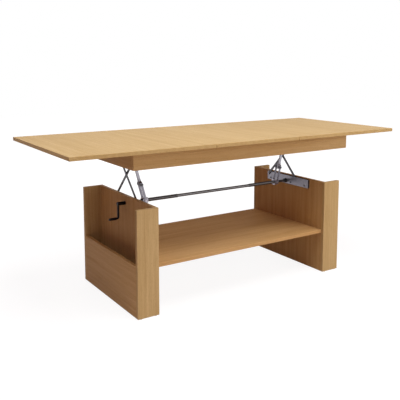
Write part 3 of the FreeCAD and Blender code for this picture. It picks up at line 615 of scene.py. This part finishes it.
def make_spindle():
    """The long spindle, with a right-hand thread at its right end and a left-hand one at its left.

    Plain journals and a plain middle are turned profiles. Over a thread, the radius at a place along
    the spindle and an angle round it is the full radius less a trapezium wave of angle and place,
    which fades out at the thread's two ends.
    """
    low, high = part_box("spindle")
    nut_low, nut_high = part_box("right_nut")
    centre = ((low.y + high.y) / 2, (low.z + high.z) / 2)
    radius = (high.z - low.z) / 2
    nut_travel = JOINTS["left_nut_slide"]["range_m"][1]
    turns = JOINTS["spindle_turn"]["range_deg"][1] / 360
    lead = nut_travel / turns
    start = nut_low.x - nut_travel - THREAD_SPARE
    end = nut_high.x + THREAD_SPARE
    crests = (end - start) / lead * THREAD_STARTS
    threaded = np.linspace(start, end, int(crests * THREAD_ROWS_PER_CREST))
    right = np.concatenate([[start], threaded, [end, high.x - SPINDLE_CHAMFER, high.x, high.x]])
    right_full = np.concatenate([[MIDDLE_RADIUS], np.full(len(threaded), radius),
                                 [JOURNAL_RADIUS, JOURNAL_RADIUS, JOURNAL_RADIUS - SPINDLE_CHAMFER, 0]])
    left = -right[::-1]
    left[:3] = [low.x, low.x, low.x + SPINDLE_CHAMFER]
    along = np.concatenate([left, right])
    full = np.concatenate([right_full[::-1], right_full])
    points = turned(along, full, centre, SPINDLE_COLUMNS)
    turn = np.linspace(0, 2 * math.pi, SPINDLE_COLUMNS, endpoint=False)
    phase = THREAD_STARTS * (np.abs(along)[:, None] / lead - turn[None] / (2 * math.pi))
    wave = np.clip(2 * np.abs(2 * (phase % 1) - 1) - 0.5, 0, 1)
    inside = np.clip(np.minimum(np.abs(along) - start, end - np.abs(along)) / THREAD_FADE, 0, 1)
    cut = 1 - THREAD_DEPTH / radius * wave * inside[:, None]
    points[..., 1] = centre[0] + (points[..., 1] - centre[0]) * cut
    points[..., 2] = centre[1] + (points[..., 2] - centre[1]) * cut
    faces = grid_faces(len(along), SPINDLE_COLUMNS)
    piece("threaded_spindle", points, faces, DRAWN, "spindle", ["spindle"])


def eased_cylinder(start, end, radius, ease):
    """Profile of a closed cylinder along X whose two rims are quarter circles."""
    quarter = np.linspace(0, math.pi / 2, EASE_STEPS + 1)
    leaving = ease * (1 - np.cos(quarter))
    meeting = ease * (1 - np.sin(quarter))
    along = np.concatenate([[start], start + leaving, end - meeting, [end]])
    rim = np.concatenate([[0], radius - meeting, radius - leaving, [0]])
    return along, rim


def make_crank():
    """The cranked rod: a round section carried down from the hub and round a bend, with the grip's pin."""
    low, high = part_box("crank")
    spindle_low, spindle_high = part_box("spindle")
    grip_low, grip_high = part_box("crank_grip")
    height = (spindle_low.z + spindle_high.z) / 2
    grip_height = (grip_low.z + grip_high.z) / 2
    hub_radius = high.z - height
    hub_far = spindle_low.x - HUB_WALL
    hub_along, hub_rim = eased_cylinder(hub_far, high.x, hub_radius, HUB_EASE)
    hub = turned(hub_along, hub_rim, (0.0, height), CRANK_COLUMNS)
    rod_x = hub_far + CRANK_ROD_RADIUS
    bend = np.linspace(0, math.pi / 2, CRANK_BEND_STEPS + 1)
    path_x = np.concatenate([[rod_x], rod_x - CRANK_BEND * (1 - np.cos(bend))])
    path_z = np.concatenate([[height], grip_height + CRANK_BEND * (1 - np.sin(bend))])
    heading = np.concatenate([[0.0], bend])
    turn = np.linspace(0, 2 * math.pi, CRANK_COLUMNS, endpoint=False)
    rod = np.empty((len(path_x), CRANK_COLUMNS, 3))
    side = CRANK_ROD_RADIUS * np.cos(turn)[None]
    rod[..., 0] = path_x[:, None] + side * np.cos(heading)[:, None]
    rod[..., 1] = CRANK_ROD_RADIUS * np.sin(turn)[None]
    rod[..., 2] = path_z[:, None] - side * np.sin(heading)[:, None]
    heel = rod_x - CRANK_BEND
    stop = low.x + GRIP_STOP
    pin_along = [heel, heel, stop, stop, low.x + GRIP_STOP_CHAMFER, low.x, low.x]
    pin_rim = [0, GRIP_PIN_RADIUS, GRIP_PIN_RADIUS, GRIP_STOP_RADIUS, GRIP_STOP_RADIUS,
               GRIP_STOP_RADIUS - GRIP_STOP_CHAMFER, 0]
    pin = turned(pin_along, pin_rim, (0.0, grip_height), CRANK_COLUMNS)
    rod_faces = grid_faces(len(path_x), CRANK_COLUMNS)
    first = list(range(CRANK_COLUMNS))
    last = [len(path_x) * CRANK_COLUMNS - 1 - corner for corner in first]
    parts = [(hub.reshape(-1, 3), grid_faces(len(hub_along), CRANK_COLUMNS)),
             (rod.reshape(-1, 3), rod_faces + [first, last]),
             (pin.reshape(-1, 3), grid_faces(len(pin_along), CRANK_COLUMNS))]
    points, faces = joined(parts)
    piece("cranked_rod", points, faces, ENAMEL, "spindle", ["crank"])


def make_grip():
    """The loose sleeve: a slightly swollen barrel with shallow rings, turned about its pin."""
    low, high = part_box("crank_grip")
    centre = ((low.y + high.y) / 2, (low.z + high.z) / 2)
    radius = (high.z - low.z) / 2
    share = np.linspace(0, 1, GRIP_ROWS)
    edge = np.clip(np.minimum(share, 1 - share) * (high.x - low.x) / GRIP_EASE, 0, 1)
    round_off = GRIP_EASE * (1 - np.sqrt(edge * (2 - edge)))
    swell = GRIP_SWELL * (1 - np.sin(math.pi * share))
    wave = 1 - np.cos(2 * math.pi * GRIP_RINGS * share)
    rings = GRIP_RING_DEPTH * np.clip(1 - GRIP_RING_NARROWING * wave, 0, 1) * edge
    outer = radius - swell - round_off - rings
    along = np.concatenate([low.x + (high.x - low.x) * share, [high.x, low.x]])
    rim = np.concatenate([outer, [GRIP_BORE_RADIUS, GRIP_BORE_RADIUS]])
    points = turned(along, rim, centre, CRANK_COLUMNS)
    faces = grid_faces(len(along), CRANK_COLUMNS, close_rows=True)
    piece("grip_sleeve", points, faces, PLASTIC, "crank_grip", ["crank_grip"])


def finish_cad_nodes():
    """Finishes of the nodes that stay as they are, by their slot, or by name where a piece differs."""
    by_slot = {"zinc_steel": ZINC, "dark_steel": OILED, "black_enamel": ENAMEL, "black_plastic": PLASTIC,
               "nylon": NYLON, "beech": LENGTHWISE, "frame_wood": RAW_LENGTHWISE}
    across = ("left_cross_rail", "right_cross_rail", "base_dowels", "apron_dowels")
    by_name = {name: RAW_CROSSWISE for name in across}
    by_name.update(left_nut=NUT_ZINC, right_nut=NUT_ZINC, left_lever_bar=LEVER_ZINC,
                   right_lever_bar=LEVER_ZINC, floor_glides=GLIDE_NYLON)
    for name, node in frame["nodes"].items():
        slot = node.material_slots[0].material.name
        node.material_slots[0].material = by_name.get(name, by_slot[slot])


# Studio


def seen_directly(tree):
    """1 for rays from the camera and for what metal and glass show, otherwise 0."""
    path = add_node(tree, "ShaderNodeLightPath").outputs
    seen = maths(tree, "MAXIMUM", path["Is Camera Ray"], path["Is Glossy Ray"])
    return maths(tree, "MAXIMUM", seen, path["Is Transmission Ray"])


def floor_material():
    """White paper with a glow that grows away from the object, and a plain tone for bounced light."""
    material = bpy.data.materials.new("floor_white")
    material.use_nodes = True
    tree = material.node_tree
    tree.nodes.clear()
    paper = add_node(tree, "ShaderNodeBsdfDiffuse", {"Color": FLOOR_PAPER})
    glow = add_node(tree, "ShaderNodeEmission", {"Color": WHITE})
    place = add_node(tree, "ShaderNodeTexCoord").outputs["Object"]
    away = add_node(tree, "ShaderNodeVectorMath", operation="LENGTH")
    tree.links.new(place, away.inputs[0])
    strength = spread(tree, away.outputs["Value"], FLOOR_NEAR, FLOOR_FAR, FLOOR_GLOW, 1.0)
    tree.links.new(strength, glow.inputs["Strength"])
    lit = add_node(tree, "ShaderNodeAddShader")
    tree.links.new(paper.outputs[0], lit.inputs[0])
    tree.links.new(glow.outputs[0], lit.inputs[1])
    bounce = add_node(tree, "ShaderNodeBsdfDiffuse", {"Color": FLOOR_BOUNCE})
    choice = add_node(tree, "ShaderNodeMixShader")
    tree.links.new(seen_directly(tree), choice.inputs[0])
    tree.links.new(bounce.outputs[0], choice.inputs[1])
    tree.links.new(lit.outputs[0], choice.inputs[2])
    output = add_node(tree, "ShaderNodeOutputMaterial")
    tree.links.new(choice.outputs[0], output.inputs["Surface"])
    return material


def make_floor():
    """A white square that takes the object's shadow."""
    corners = FLOOR_HALF * np.array([(-1, -1, 0), (1, -1, 0), (1, 1, 0), (-1, 1, 0)])
    mesh = bpy.data.meshes.new("floor")
    mesh.from_pydata(corners.tolist(), [], [(0, 1, 2, 3)])
    mesh.materials.append(floor_material())
    floor = bpy.data.objects.new("floor", mesh)
    bpy.context.scene.collection.objects.link(floor)


def make_world():
    """White all round for the camera and for reflections, and faint warm light for the rest."""
    world = bpy.data.worlds.new("studio")
    bpy.context.scene.world = world
    world.use_nodes = True
    tree = world.node_tree
    background = tree.nodes["Background"]
    seen = seen_directly(tree)
    tree.links.new(blended(tree, seen, AMBIENT_TINT, WHITE), background.inputs["Color"])
    tree.links.new(spread(tree, seen, 0.0, 1.0, AMBIENT, 1.0), background.inputs["Strength"])


def make_lamp(name, direction, distance, size, level, mirrored=True):
    """A square soft lamp; at a level of 1 a white surface that faces it renders as white."""
    data = bpy.data.lights.new(name, "AREA")
    data.shape = "SQUARE"
    data.size = size
    data.energy = level * (math.pi * distance) ** 2
    lamp = bpy.data.objects.new(name, data)
    towards = Vector(direction).normalized()
    lamp.location = Vector(LIGHT_AIM) + towards * distance
    lamp.rotation_euler = towards.to_track_quat("Z", "Y").to_euler()
    lamp.visible_glossy = mirrored
    bpy.context.scene.collection.objects.link(lamp)


def make_camera():
    """The photograph's view."""
    data = bpy.data.cameras.new("view")
    data.lens = VIEW_LENS
    data.shift_y = VIEW_SHIFT
    camera = bpy.data.objects.new("view", data)
    camera.location = VIEW_FROM
    camera.rotation_euler = (math.pi / 2 - VIEW_DOWN, 0.0, -VIEW_YAW)
    bpy.context.scene.collection.objects.link(camera)
    bpy.context.scene.camera = camera


finish_cad_nodes()
make_boards()
make_insert()
make_left_end_panel()
make_pockets()
make_end_aprons()
make_spindle()
make_crank()
make_grip()
make_floor()
make_world()
for lamp in LAMPS:
    make_lamp(**lamp)
make_camera()
bpy.context.scene.view_settings.view_transform = "Standard"
